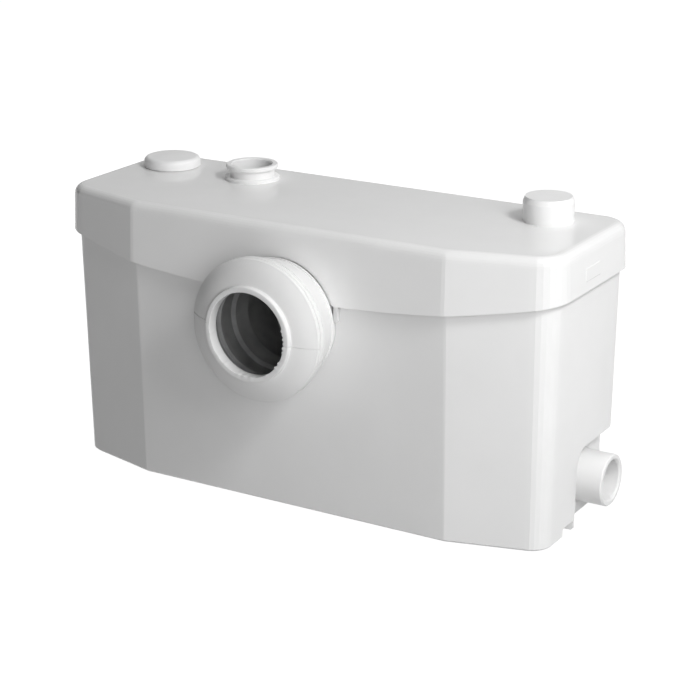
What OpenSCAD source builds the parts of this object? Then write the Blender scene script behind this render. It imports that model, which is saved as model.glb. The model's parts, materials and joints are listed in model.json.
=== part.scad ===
// Macerator toilet pump: a low tank with a lift-off lid, a soft toilet inlet sleeve at the
// front, a low inlet on each side, and a vertical motor with a knife above it and a pump below.
// Millimetres, +Z up. The front faces -Y, and the origin is on the floor under the middle.

/* [Tank] */
// Width of the tank at the floor
tank_w = 488; // [470:1:520]
// Depth of the tank at the floor
tank_d = 163.5; // [160:0.5:176]
// Width of the flat front between the slanted corners
front_w = 317; // [290:1:340]
// Depth of the slanted corners
slant_d = 22.5; // [18:0.5:30]
// Height of the lid's top above the toilet inlet's axis
body_h = 83; // [80:0.5:90]
// Wall thickness of the tank
tank_wall = 3; // [2.4:0.1:3.6]
// Thickness of the tank floor
floor_t = 5; // [4:0.5:6]
// Outward lean of the walls per millimetre of height
draft = 0.016; // [0.012:0.001:0.02]
// Radius of the edges beside the flat front
front_r = 9; // [6:0.5:12]
// Radius of the edges between the slants and the sides
side_r = 21; // [16:0.5:24]
// Radius of the rear edges of the tank
rear_r = 15.5; // [14:0.5:16]
// Height of the rounding under the tank
base_r = 2; // [1:0.5:3]

/* [Side recess] */
// Depth of the recess around each low inlet
recess_in = 14; // [11:0.5:16]
// Height of the recess
recess_h = 74; // [70:0.5:78]
// Distance of the recess's front edge from the low inlet's axis
recess_front = 44.3; // [40:0.1:46]
// Corner radius of the recess
recess_r = 18; // [12:0.5:22]
// Height of the slot under each side wall
slot_h = 9.2; // [6:0.1:10]
// Length of the slot, front to rear
slot_len = 21; // [18:0.5:24]
// Length of the foot between the slot and the recess
slot_foot = 2.5; // [2.4:0.1:5]

/* [Lid] */
// Overhang of the lid beyond the tank's floor outline, at the lid's top
lid_over = 7.3; // [7:0.1:9]
// Outward lean of the skirt per millimetre downward
lid_flare = 0.04; // [0.03:0.005:0.06]
// Lowest height of the skirt, at the middle of the front
lid_edge_z = 198.2; // [192:0.2:204]
// Radius of the arc of the skirt's lower edge
lid_edge_r = 1330; // [1200:10:2000]
// Thickness of the lid's top
lid_t = 2.8; // [2.4:0.1:3.4]
// Thickness of the lid's skirt
lid_wall = 2.2; // [1.8:0.1:2.4]
// Fillet of the lid's top edge
lid_fillet = 9; // [7:0.5:10]
// Radius of the rear edges of the lid
lid_rear_r = 25; // [22:0.5:25.5]
// Gap between the lid's arch and the inlet collar
arch_gap = 3; // [2.5:0.1:6]
// Radius where the arch runs out into the skirt's edge
arch_corner_r = 7; // [3:0.5:10]
// Height of the rib under the lid that presses the seal
tongue_h = 7.9; // [7:0.1:9]
// Height of the lid seal
seal_h = 4; // [3:0.5:5]

/* [Toilet inlet] */
// Height of the inlet's axis
inlet_z = 180; // [176:1:184]
// Reach of the soft sleeve in front of the tank
sleeve_reach = 64; // [60:0.5:70]
// Radius of the hole in the sleeve's lip
lip_r = 37.7; // [36:0.1:39]
// Width of the lip's front face
lip_w = 4.8; // [4:0.1:6]
// Depth of the lip's straight hole
lip_depth = 10.7; // [9:0.1:13]
// Largest radius of the sleeve
dome_r = 64.4; // [62:0.1:67]
// Distance of the largest radius from the tank's front
dome_reach = 46.7; // [45:0.1:49]
// Wall thickness of the sleeve's tail
tail_w = 3.3; // [3:0.1:4.5]
// Distance of the sleeve's tail from the tank's front
tail_reach = 11; // [10.5:0.1:14]
// Wall thickness of the sleeve
sleeve_wall = 4; // [3:0.1:4.5]
// Outer radius of the inlet collar in the tank's front
collar_r = 52; // [51:0.1:53]
// Wall thickness of the collar
collar_wall = 4; // [3:0.1:4.5]
// Reach of the collar in front of the tank
collar_reach = 30; // [26:0.5:32]
// Wall thickness of the dark lining
liner_wall = 3.6; // [3:0.1:4]
// Height of the ring and the throat inside the lining
liner_rib = 3; // [2:0.1:4]

/* [Low inlets] */
// Outer radius of the spigot
spigot_r = 23.7; // [22:0.1:24.5]
// Bore radius of the spigot
spigot_bore = 18.2; // [17:0.1:19]
// Reach of the spigot beyond the recess wall
spigot_reach = 29; // [24:0.5:34]
// Height of the spigot's axis
spigot_z = 33.8; // [33.5:0.1:36]
// Distance of the spigot's axis from the tank's rear
spigot_back = 37; // [34:0.5:40]
// Radius of the flange inside the tank
spigot_flange_r = 30; // [29:0.5:31]
// Thickness of the flange
spigot_flange_t = 4; // [3:0.5:5]
// Thickness of the flange seal
spigot_seal_t = 2; // [1.5:0.1:3]

/* [Top fittings] */
// Distance of the cap's centre from the tank's side
cap_edge = 36; // [34:0.5:44]
// Distance of the cap and the vent from the tank's rear
cap_back = 38.8; // [36:0.2:48]
// Radius of the blanking cap
cap_r = 26.9; // [26:0.1:30]
// Height of the blanking cap above the lid
cap_h = 11; // [9:0.5:14]
// Radius of the hole under the cap
cap_hole_r = 20; // [18:0.5:22]
// Distance of the open sleeve from the middle
riser_x = 114.2; // [110:0.2:120]
// Distance of the open sleeve from the tank's rear
riser_back = 41.7; // [40.5:0.1:45]
// Bore radius of the open sleeve
top_bore = 18.6; // [18.4:0.1:19]
// Neck radius of the open sleeve
top_neck_r = 20.8; // [20.6:0.1:21.4]
// Radius of the open sleeve's rim
top_rim_r = 24.5; // [23.5:0.1:26]
// Radius of the open sleeve's base flange
top_base_r = 25.6; // [24:0.1:27]
// Height of the open sleeve above the lid
top_h = 14.5; // [12:0.5:18]
// Distance of the vent's centre from the tank's side
vent_edge = 53.5; // [48.5:0.5:60.5]
// Radius of the vent cap
vent_r = 22.6; // [21:0.1:25]
// Height of the vent cap
vent_h = 22.2; // [20:0.2:26]

/* [Motor] */
// Outer radius of the motor housing
motor_r = 52; // [50:0.5:53]
// Wall thickness of the motor housing
motor_wall = 4; // [3:0.5:5]
// Height of the motor housing
motor_h = 71; // [68:0.5:72]
// Thickness of the motor cover
cover_t = 8; // [7.5:0.1:8.5]
// Radius of the clamped rim of housing and cover
motor_rim_r = 58; // [57:0.5:59]
// Height of the housing's rim
motor_rim_h = 6; // [5:0.5:8]
// Shaft radius
shaft_r = 6; // [5:0.1:7]
// Outer radius of the bearings
bearing_r = 16; // [14:0.1:17]
// Height of the bearings
bearing_h = 9; // [8:0.1:9.5]
// Outer radius of the shaft seals
shaft_seal_r = 12; // [10:0.1:13]
// Radius of the rotor core
rotor_r = 27; // [24:0.1:30]
// Air gap between rotor and stator
air_gap = 0.4; // [0.3:0.1:0.8]
// Height of the stator and rotor stacks
stack_h = 38; // [34:0.5:39]
// Height of the rubber feet
foot_h = 10; // [8:0.5:12]
// Radius of the rubber feet
foot_r = 7; // [6:0.1:8]
// Radius of the motor lead
lead_r = 3.5; // [3:0.1:4]

/* [Macerator] */
// Outer radius of the grinder basket
basket_r = 60; // [59:0.5:61]
// Wall thickness of the basket
basket_wall = 3; // [2.5:0.1:4]
// Height of the basket's rim above the toilet inlet's axis
basket_h = 57; // [52:1:60]
// Number of slots around the basket
basket_slots = 18; // [12:1:19]
// Width of the basket's slots
basket_slot_w = 5; // [4:0.5:7]
// Height of the basket's slots
basket_slot_h = 40; // [30:1:50]
// Tip radius of the knife
knife_r = 52; // [46:0.5:54]
// Width of the knife
knife_w = 20; // [16:0.5:22]
// Thickness of the knife
knife_t = 3.5; // [3:0.1:4]
// Height of the knife's upturned tips
knife_tip_h = 14; // [8:0.5:18]

/* [Pump] */
// Outer radius of the pump casing
casing_r = 49; // [48.5:0.1:49.5]
// Radius of the pump chamber
chamber_r = 43; // [42.6:0.1:43.2]
// Height of the pump chamber
chamber_h = 19; // [18.6:0.1:20]
// Thickness of the suction plate
suction_t = 3; // [2:0.5:4]
// Radius of the suction eye
eye_r = 17; // [14:0.5:20]
// Radius of the impeller
impeller_r = 39; // [36:0.5:41]
// Number of impeller vanes
vanes = 6; // [4:1:8]
// Offset of the pump outlet from the shaft
outlet_off = 31; // [30:0.2:31.2]
// Bore radius of the pump outlet
outlet_bore = 9; // [7:0.1:9.2]

/* [Discharge] */
// Wall thickness of the discharge pipes
pipe_wall = 3; // [2.5:0.1:3.4]
// Bore radius of the valve seat
seat_bore = 14; // [12:0.5:15]
// Radius of the valve flap
flap_r = 17; // [16.5:0.1:18]
// Inner radius of the valve chamber
valve_r = 25; // [24:0.1:26]
// Height of the valve chamber
valve_h = 46; // [44:0.5:52]
// Height of the valve seat
valve_z = 60; // [56:0.5:66]

/* [Level switch] */
// Distance of the pressure bell from the middle
bell_x = 125; // [124:0.5:130]
// Outer radius of the pressure bell
bell_r = 22; // [20:0.5:24]
// Wall thickness of the pressure bell
bell_wall = 3; // [2:0.5:3.5]
// Height of the pressure bell's top
bell_top = 142; // [136:0.5:146]
// Radius of the bell's flange
bell_flange_r = 30; // [29:0.5:31]
// Thickness of the diaphragm
diaphragm_t = 2; // [1.5:0.1:3]
// Lift of the plunger at the switching level
plunger_lift = 2.5; // [2:0.1:2.6]
// Radius of the motor capacitor
capacitor_r = 17; // [14:0.5:18]
// Height of the motor capacitor
capacitor_h = 48; // [40:1:50]

/* [Hidden] */

$fn = 72;
// Segments of the lofted corners
corner_fn = 32;
// Segments of the long arc under the lid
arc_fn = 256;
// Overshoot of cuts
cut = 1;

// Colours
shell_white = [0.93, 0.93, 0.92];
soft_white = [0.96, 0.96, 0.95];
dark_rubber = [0.16, 0.16, 0.17];
dark_plastic = [0.25, 0.26, 0.28];
grey_plastic = [0.62, 0.63, 0.65];
steel = [0.72, 0.73, 0.75];
cast_metal = [0.66, 0.67, 0.69];
copper = [0.72, 0.43, 0.25];
charcoal = [0.12, 0.12, 0.12];

// Clearances: a turning fit, a loose seat and the play of a part that lifts off
turn_fit = 0.05;
seat_gap = 0.3;
lift_gap = 0.4;

// Height of the lid's top
lid_top = inlet_z + body_h;

// Outward offset of the tank and of the lid from the floor outline at a height
function tank_off(z) = draft * z;
function lid_off(z) = lid_over + lid_flare * (lid_top - z);

// Front and rear planes of the tank at the floor
front_y = (sleeve_reach - tank_d - lid_off(lid_edge_z)) / 2;
rear_y = front_y + tank_d;

// Outward normal of the right slant
slant_x = (tank_w - front_w) / 2;
slant_len = sqrt(slant_x * slant_x + slant_d * slant_d);
slant_nx = slant_d / slant_len;
slant_ny = slant_x / slant_len;

// Centres and radii of the corner rounds on the right, for a given rear radius
function corners(rear) = [
    [front_w / 2 - front_r * (1 - slant_ny) / slant_nx, front_y + front_r, front_r],
    [tank_w / 2 - side_r, front_y + slant_d + side_r * (1 - slant_nx) / slant_ny, side_r],
    [tank_w / 2 - rear, rear_y - rear, rear]
];
tank_corners = corners(rear_r);
lid_corners = corners(lid_rear_r - lid_over);

// Heights of the tank rim, the seal and the lid's underside
lid_under = lid_top - lid_t;
tongue_z = lid_under - tongue_h;
rim_z = tongue_z - seat_gap - seal_h;

// Side recess and low inlets
recess_x = tank_w / 2 - recess_in;
spigot_y = rear_y - spigot_back;
recess_y = spigot_y - recess_front;
recess_inner_x = recess_x - tank_wall;
spigot_seat_x = recess_inner_x - spigot_seal_t - spigot_flange_t;
inlet_pin_r = 0.9;
inlet_barrel_r = 1.8;
inlet_flap_t = 3;
inlet_flap_gap = inlet_barrel_r - inlet_flap_t / 2 + seat_gap;
inlet_pin_x = spigot_seat_x - inlet_flap_gap - inlet_flap_t / 2;
inlet_pin_rise = 5.5;
inlet_pin_z = spigot_z + spigot_bore + inlet_pin_rise;
inlet_ear_in = 9;
inlet_ear_t = 3.5;
inlet_flap_lap = 2.8;
inlet_flap_r = spigot_bore + inlet_flap_lap;
spigot_root_r = spigot_r + 0.8;
spigot_hole_r = spigot_root_r + seat_gap;
spigot_seal_w = 2.4;

// Lid fittings
cap_x = tank_w / 2 - cap_edge;
cap_y = rear_y - cap_back;
vent_x = tank_w / 2 - vent_edge;
riser_y = rear_y - riser_back;
vent_boss_h = 3.6;
vent_wall = 2.5;
vent_boss_r = vent_r - vent_wall - lift_gap;
vent_boss_wall = 5.1;
vent_hole_r = vent_boss_r - vent_boss_wall;
vent_filter_h = vent_h - vent_boss_h - vent_wall - seat_gap;
top_hole_r = top_neck_r + seat_gap;
top_ledge = 0.5;
top_ledge_z = lid_top - top_ledge;
top_tail = 5;
top_tail_w = 3;

// Riser pipe and its valve
riser_step = 1.5;
riser_r = top_bore - lift_gap - riser_step;
riser_bore = riser_r - pipe_wall;
riser_top = top_ledge_z - seat_gap;
valve_flange_w = 8;
valve_flange_r = valve_r + pipe_wall + valve_flange_w;
valve_flange_t = 4;
valve_screw_ring = valve_flange_r - valve_flange_w / 2;
flap_t = 3;
flap_pin_r = 1.5;
flap_barrel_r = 2.6;
flap_arm = 3.4;
flap_pin_y = riser_y + flap_r + flap_arm;
flap_pin_z = valve_z + seat_gap + flap_barrel_r;
flap_pin_grip = 2;
flap_pin_half = sqrt(pow(valve_r, 2) - pow(flap_r + flap_arm, 2)) + flap_pin_grip;
seat_land = 2;
elbow_r = seat_bore + pipe_wall + seat_land;

// Vertical stack of pump and motor on one shaft
shaft_y = riser_y - outlet_off;
suction_z = floor_t + foot_h;
casing_z = suction_z + suction_t;
casing_top_t = 5;
motor_z = casing_z + chamber_h + casing_top_t;
cover_z = motor_z + motor_h;
basket_z = cover_z + cover_t;
basket_rim_z = inlet_z + basket_h;
basket_len = basket_rim_z - basket_z;
motor_base_t = 5;
bearing_lip = 2;
bearing_wall = 4;
bearing_sink = 1;
bearing_boss_r = bearing_r + bearing_wall;
lower_bearing_z = motor_z + bearing_lip;
upper_bearing_z = cover_z + bearing_sink - bearing_h;
upper_seal_z = cover_z + 2 * bearing_sink;
shaft_gap = 2;
seal_t = 5;
stack_z = motor_z + (motor_h - stack_h) / 2;
winding_h = 7;
foot_offset = 28;
lead_drop = 16;
lead_z = motor_z + motor_h - motor_rim_h - lead_drop;
lead_wall = 3.5;
lead_boss_r = lead_r + lead_wall;
lead_boss_x = motor_r + 6;
lead_bend = 10;
lead_grip = 4;
lead_x = lead_boss_x + lead_bend + 6;
outlet_z = casing_z + chamber_h / 2;
outlet_wall = 3.5;
outlet_r = outlet_bore + outlet_wall;
outlet_reach = 21;
outlet_end = casing_r + outlet_reach;
hose_gap = 2.5;
hose_grip = 11;
hose_wall = 3;
clamp_w = 7;
clamp_t = 1;
screw_r = 2;
screw_head_r = 3.8;
screw_head_h = 3;
pump_screw_ring = (casing_r + chamber_r) / 2;
pump_screw_grip = 3;
motor_screw_in = 4;
motor_screw_ring = motor_rim_r - motor_screw_in;

// Details of the soft sleeve and the lining
lip_step = 4.2;
lip_round = 1.4;
lip_root = 1.2;
band_in = 1.4;
rim_len = 3.8;
face_lean = 0.43;
groove_w = 1;
groove_d = 0.9;
groove_step = 3;
collar_in = 5;
arch_r = collar_r + arch_gap;
sleeve_bore = collar_r + seat_gap;
tail_r = sleeve_bore + tail_w;
band_r = dome_r - band_in;
face_r = lip_r + lip_w + lip_root;
face_drop = sleeve_reach - lip_step - dome_reach - rim_len;
liner_r = collar_r - collar_wall - seat_gap;
liner_bore = liner_r - liner_wall;

// Knife and basket
basket_floor_t = 3;
basket_hole_r = 20;
basket_flange = 3;
basket_screw_ring = 31;
basket_head_h = 2.4;
basket_cover_t = 3;
basket_slot_step = 14;
basket_slot_z = 8;
knife_hub_r = 10;
knife_hub_gap = 0.8;
knife_rise = 5;
knife_z = basket_z + basket_floor_t + knife_rise;
knife_nut_h = 8;
thread_r = shaft_r - 1;
thread_out = 2;
thread_len = knife_nut_h + thread_out;
impeller_gap = 2;
impeller_z = casing_z + impeller_gap;
impeller_h = chamber_h - 2 * impeller_gap;
impeller_hub_r = 10;
shroud_t = 3;
vane_t = 2.6;
vane_sweep = 70;
vane_in = 0.6;

// Level switch
bell_y = shaft_y;
bell_notch_h = 12;
bell_flange_t = 4;
bell_screw_in = 3.5;
bell_screw_ring = bell_flange_r - bell_screw_in;
bell_screw_r = 1.5;
bell_head_r = 2.8;
bell_head_h = 2;
capacitor_gap = 2;
capacitor_tag = [1, 6, 6];
capacitor_x = bell_x + bell_screw_ring + bell_head_r + capacitor_gap + capacitor_r;
box_wall = 2.5;
box_floor_t = 3.4;
box_left = bell_x - bell_flange_r - box_wall;
box_right = capacitor_x + capacitor_r + capacitor_gap + box_wall;
box_half = bell_screw_ring + bell_head_r + seat_gap + box_wall;
box_front = bell_y - box_half;
box_rear = bell_y + box_half;
box_z = bell_top + diaphragm_t + 2 * seat_gap;
box_floor_z = box_z + box_floor_t;
box_h = box_floor_t + capacitor_h + capacitor_tag[2] + capacitor_gap;
box_hole_r = 17;
box_lead_rise = 26;
box_lead_z = box_z + box_lead_rise;
plunger_r = 14;
plunger_t = 2.4;
table_t = 3;
table_gap = 1.7;
table_z = box_z + plunger_t + plunger_lift + table_gap;
stem_r = 3;
stem_tip_r = 1;
stem_tip_h = 3;
stem_top = table_z + table_t + stem_tip_h + 0.8;
lever_t = 1;
lever_w = 6;
lever_arm = 18;
lever_len = 23;
lever_pin_r = 0.8;
lever_pin_z = stem_top + seat_gap + lever_t / 2;
lever_rise = plunger_lift * lever_len / lever_arm;
switch_l = 28;
switch_w = 10;
switch_h = 16;
switch_ear_t = 1.6;
switch_ear_x = 2;
switch_left = lever_arm + switch_ear_x - switch_l;
switch_z = lever_pin_z + lever_t / 2 + lever_rise + seat_gap;
bracket_t = 3;
peg_r = 1.5;
peg_in = 6;

// Cable gland in the rear wall
gland_x = bell_x + bell_flange_r - 5;
gland_z = inlet_z;
gland_r = 10;
gland_neck_r = 7.4;
gland_bore = 3.8;
gland_flange_t = 3;

// Straight ring standing on its base
module ring(outer, inner, h) {
    difference() {
        cylinder(r = outer, h = h);
        translate([0, 0, -cut])
            cylinder(r = inner, h = h + 2 * cut);
    }
}

// Solid between rounded outlines: each level is a height and an offset from the corner radii
module loft(levels, rounds) {
    hull()
        for (i = [0 : len(levels) - 2], c = rounds, side = [-1, 1])
            translate([side * c[0], c[1], levels[i][0]])
                cylinder(
                    h = levels[i + 1][0] - levels[i][0],
                    r1 = c[2] + levels[i][1],
                    r2 = c[2] + levels[i + 1][1],
                    $fn = corner_fn
                );
}

// Places children on the shaft axis
module on_shaft(z) {
    translate([0, shaft_y, z])
        children();
}

// Places children on the toilet inlet's axis, with +Z pointing out of the front
module on_inlet() {
    translate([0, front_y, inlet_z])
        rotate([90, 0, 0])
            children();
}

// Places children on the right low inlet's axis, with +Z pointing out of the side
module on_spigot(x) {
    translate([x, spigot_y, spigot_z])
        rotate([0, 90, 0])
            children();
}

// Places children on the riser's axis
module on_riser(z) {
    translate([-riser_x, riser_y, z])
        children();
}

// Places children on the pressure bell's axis
module on_bell(z) {
    translate([bell_x, bell_y, z])
        children();
}

// Copies children to a ring of positions
module around(count, radius, start = 0) {
    for (i = [0 : count - 1])
        rotate([0, 0, start + i * 360 / count])
            translate([radius, 0, 0])
                children();
}

// Screw pointing down, with the underside of its head at the origin
module screw(r, head_r, head_h, len) {
    cylinder(r = head_r, h = head_h);
    translate([0, 0, -len])
        cylinder(r = r, h = len + head_h / 2);
}

// Tank

module recess_profile(grow) {
    reach = tank_d;
    union() {
        translate([recess_y + recess_r, -cut])
            square([reach, recess_h + grow + cut]);
        translate([recess_y - grow, -cut])
            square([reach, recess_h - recess_r + cut]);
        translate([recess_y + recess_r, recess_h - recess_r])
            circle(r = recess_r + grow);
    }
}

module side_recesses(grow) {
    for (side = [0, 1])
        mirror([side, 0, 0])
            translate([recess_x - grow, 0, 0])
                rotate([90, 0, 90])
                    linear_extrude(recess_in + grow + lid_over)
                        recess_profile(grow);
}

// Blocks of the slots under the side walls
module side_slots(grow) {
    for (side = [0, 1])
        mirror([side, 0, 0])
            translate([recess_x - grow, recess_y - slot_foot - slot_len - grow, -cut])
                cube([recess_in + lid_over + grow, slot_len + 2 * grow, slot_h + grow + cut]);
}

module tank_shell() {
    difference() {
        loft([
            [0, -base_r],
            [base_r, tank_off(base_r)],
            [rim_z, tank_off(rim_z)]
        ], tank_corners);
        side_recesses(0);
        side_slots(0);
        difference() {
            loft([
                [floor_t, tank_off(floor_t) - tank_wall],
                [rim_z + cut, tank_off(rim_z + cut) - tank_wall]
            ], tank_corners);
            side_recesses(tank_wall);
            side_slots(tank_wall);
        }
    }
}

// Small lug beside the inlet that centres the lid's arch
module arch_lug() {
    lug_w = 4.5;
    lug_reach = 6.8;
    lug_h = 15;
    lug_in = 1.1;
    lug_x = tail_r - lug_in;
    lug_rise = 4;
    translate([lug_x, front_y, inlet_z + lug_rise + lug_w / 2])
        rotate([90, 0, 0])
            union() {
                cylinder(r = lug_w / 2, h = lug_reach);
                translate([-lug_w / 2, 0, 0])
                    cube([lug_w, lug_h - lug_w / 2, lug_reach]);
            }
}

module tank() {
    pocket_h = 3;
    color(shell_white)
        difference() {
            union() {
                tank_shell();
                for (side = [0, 1])
                    mirror([side, 0, 0])
                        arch_lug();
                on_shaft(floor_t - cut / 2)
                    for (sx = [-1, 1], sy = [-1, 1])
                        translate([sx * foot_offset, sy * foot_offset, 0])
                            ring(foot_r + seat_gap + 2, foot_r + seat_gap, pocket_h);
                on_bell(floor_t - cut / 2)
                    ring(bell_r + seat_gap + 2, bell_r + seat_gap, pocket_h);
            }
            on_inlet()
                translate([0, 0, -collar_in])
                    cylinder(r = collar_r + seat_gap, h = 2 * collar_in + tank_wall);
            for (side = [0, 1])
                mirror([side, 0, 0])
                    on_spigot(recess_inner_x - cut)
                        cylinder(r = spigot_hole_r, h = tank_wall + 2 * cut);
            translate([gland_x, rear_y - tank_wall - cut, gland_z])
                rotate([-90, 0, 0])
                    cylinder(r = gland_neck_r + seat_gap / 2, h = tank_wall + lid_over + cut);
        }
}

module lid_seal() {
    color(dark_rubber)
        difference() {
            loft([
                [rim_z, tank_off(rim_z)],
                [rim_z + seal_h, tank_off(rim_z)]
            ], tank_corners);
            loft([
                [rim_z - cut, tank_off(rim_z) - tank_wall],
                [rim_z + seal_h + cut, tank_off(rim_z) - tank_wall]
            ], tank_corners);
        }
}

// Lid

// Levels of a lid surface: the straight skirt, then a quarter-round fillet up to the top
function lid_levels(bottom, top, fillet, inset) = concat(
    [[bottom, lid_off(bottom) - inset]],
    [
        for (t = [0 : 15 : 90])
            [
                top - fillet * (1 - sin(t)),
                lid_off(top - fillet) - inset - fillet * (1 - cos(t))
            ]
    ]
);

module lid_shell() {
    inner_fillet = lid_fillet - lid_t;
    tongue_in = 0.3;
    tongue_t = 2.4;
    difference() {
        loft(lid_levels(lid_edge_z - cut, lid_top, lid_fillet, 0), lid_corners);
        difference() {
            loft(lid_levels(lid_edge_z - 2 * cut, lid_under, inner_fillet, lid_wall), lid_corners);
            difference() {
                loft([
                    [tongue_z, tank_off(rim_z) - tongue_in],
                    [lid_top, tank_off(rim_z) - tongue_in]
                ], tank_corners);
                loft([
                    [tongue_z - cut, tank_off(rim_z) - tongue_in - tongue_t],
                    [lid_top + cut, tank_off(rim_z) - tongue_in - tongue_t]
                ], tank_corners);
            }
        }
    }
}

// Arch around the toilet inlet, with round corners where it meets the skirt's edge
module arch_profile() {
    arch_parts = 30;
    corner_parts = 6;
    edge_h = lid_edge_z - inlet_z + arch_r * arch_r / (2 * lid_edge_r);
    corner_y = edge_h + arch_corner_r;
    lean = asin(corner_y / (arch_r + arch_corner_r));
    corner_x = (arch_r + arch_corner_r) * cos(lean);
    corner = [
        for (i = [0 : corner_parts])
            let (t = 270 - i * (90 - lean) / corner_parts)
                [corner_x + arch_corner_r * cos(t), corner_y + arch_corner_r * sin(t)]
    ];
    arch = [
        for (i = [1 : arch_parts - 1])
            let (t = lean + i * (180 - 2 * lean) / arch_parts)
                arch_r * [cos(t), sin(t)]
    ];
    polygon(concat(
        [[-corner_x, 0], [corner_x, 0]],
        corner,
        arch,
        [for (i = [corner_parts : -1 : 0]) [-corner[i][0], corner[i][1]]]
    ));
}

module lid() {
    arch_depth = slant_d + front_r;
    color(shell_white)
        difference() {
            union() {
                intersection() {
                    lid_shell();
                    translate([0, 0, lid_edge_z + lid_edge_r])
                        rotate([90, 0, 0])
                            cylinder(r = lid_edge_r, h = 3 * tank_d, center = true, $fn = arc_fn);
                }
                translate([vent_x, cap_y, lid_under])
                    cylinder(r = vent_boss_r, h = lid_t + vent_boss_h);
            }
            on_inlet()
                translate([0, 0, -arch_depth / 2])
                    linear_extrude(arch_depth)
                        arch_profile();
            translate([-cap_x, cap_y, lid_under - cut])
                cylinder(r = cap_hole_r, h = lid_t + 2 * cut);
            on_riser(lid_under - cut)
                cylinder(r = top_hole_r, h = lid_t + 2 * cut);
            translate([vent_x, cap_y, lid_under - cut])
                cylinder(r = vent_hole_r, h = lid_t + vent_boss_h + 2 * cut);
        }
}

// Toilet inlet

// Collar pushed through the front wall from the inside, up to its flange
module inlet_collar() {
    flange_w = 4;
    flange_t = 3;
    chamfer = 1;
    color(shell_white)
        on_inlet()
            rotate_extrude()
                polygon([
                    [collar_r - collar_wall, -collar_in],
                    [collar_r + flange_w, -collar_in],
                    [collar_r + flange_w, flange_t - collar_in],
                    [collar_r, flange_t - collar_in],
                    [collar_r, collar_reach - chamfer],
                    [collar_r - chamfer, collar_reach],
                    [collar_r - collar_wall, collar_reach]
                ]);
}

// Distance of the sleeve's arched front face from the tank's front at a radius
function face_f(r) =
    let (u = (r - face_r) / (band_r - face_r))
        sleeve_reach - lip_step - face_drop * u * (face_lean + (1 - face_lean) * u);

// Two shallow grooves behind the bulge
function groove(f, r) = [
    [r, f],
    [r - groove_d, f],
    [r - groove_d, f + groove_w],
    [r, f + groove_w]
];

module wc_sleeve() {
    flange_t = 2;
    flange_h = 1.2;
    lip_tube = 3.3;
    lip_tube_r = lip_r + lip_tube;
    lip_outer = lip_r + lip_w;
    groove_f = dome_reach - 2 * groove_step;
    inner_r = band_r - sleeve_wall;
    parts = 10;
    tail = [
        [sleeve_bore, tail_reach],
        [tail_r, tail_reach],
        [tail_r, tail_reach + flange_t],
        [tail_r - flange_h, tail_reach + flange_t]
    ];
    rim = [for (t = [0 : 15 : 75]) [band_r + band_in * cos(t), dome_reach + rim_len * sin(t)]];
    face = [for (i = [parts : -1 : 0]) let (r = face_r + i * (band_r - face_r) / parts) [r, face_f(r)]];
    root = [for (t = [60, 90]) [face_r - lip_root * sin(t), face_f(face_r) + lip_root * (1 - cos(t))]];
    lip = [
        for (t = [0 : 30 : 90])
            [lip_outer - lip_round * (1 - cos(t)), sleeve_reach - lip_round * (1 - sin(t))]
    ];
    hole = [
        [lip_r, sleeve_reach],
        [lip_r, sleeve_reach - lip_depth],
        [lip_tube_r, sleeve_reach - lip_depth]
    ];
    inside = [
        for (i = [0 : parts])
            let (r = lip_tube_r + i * (inner_r - lip_tube_r) / parts)
                [r, face_f(r) - sleeve_wall]
    ];
    seat = [[inner_r, groove_f], [sleeve_bore, collar_reach + sleeve_wall]];
    color(soft_white)
        on_inlet()
            rotate_extrude()
                polygon(concat(
                    tail,
                    groove(groove_f, band_r),
                    groove(groove_f + groove_step, band_r),
                    rim, face, root, lip, hole, inside, seat
                ));
}

// Dark lining, with a ring near its front and a tapering throat behind it
module inlet_liner() {
    rear_f = front_y - shaft_y;
    stop_f = collar_reach + seat_gap;
    stop_in = 0.5;
    stop_r = collar_r - stop_in;
    front_f = min(face_f(stop_r) - sleeve_wall, sleeve_reach - lip_depth) - seat_gap;
    ring_back = 12.8;
    ring_f = front_f - ring_back;
    throat_f = 18;
    throat_len = 16.3;
    throat_in = 2.1;
    crest_r = liner_bore - liner_rib;
    color(dark_plastic)
        difference() {
            on_inlet()
                rotate_extrude()
                    polygon([
                        [liner_r, rear_f],
                        [liner_r, stop_f],
                        [stop_r, stop_f],
                        [stop_r, front_f],
                        [liner_bore, front_f],
                        [liner_bore, ring_f + liner_rib],
                        [crest_r, ring_f + liner_rib / 3],
                        [crest_r, ring_f - liner_rib / 3],
                        [liner_bore, ring_f - liner_rib],
                        [liner_bore, throat_f + liner_rib],
                        [crest_r, throat_f],
                        [crest_r - throat_in, throat_f - throat_len],
                        [liner_bore, throat_f - throat_len - throat_in],
                        [liner_bore, rear_f]
                    ]);
            on_shaft(0)
                cylinder(r = basket_r + seat_gap, h = lid_top);
        }
}

// Low inlets

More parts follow.
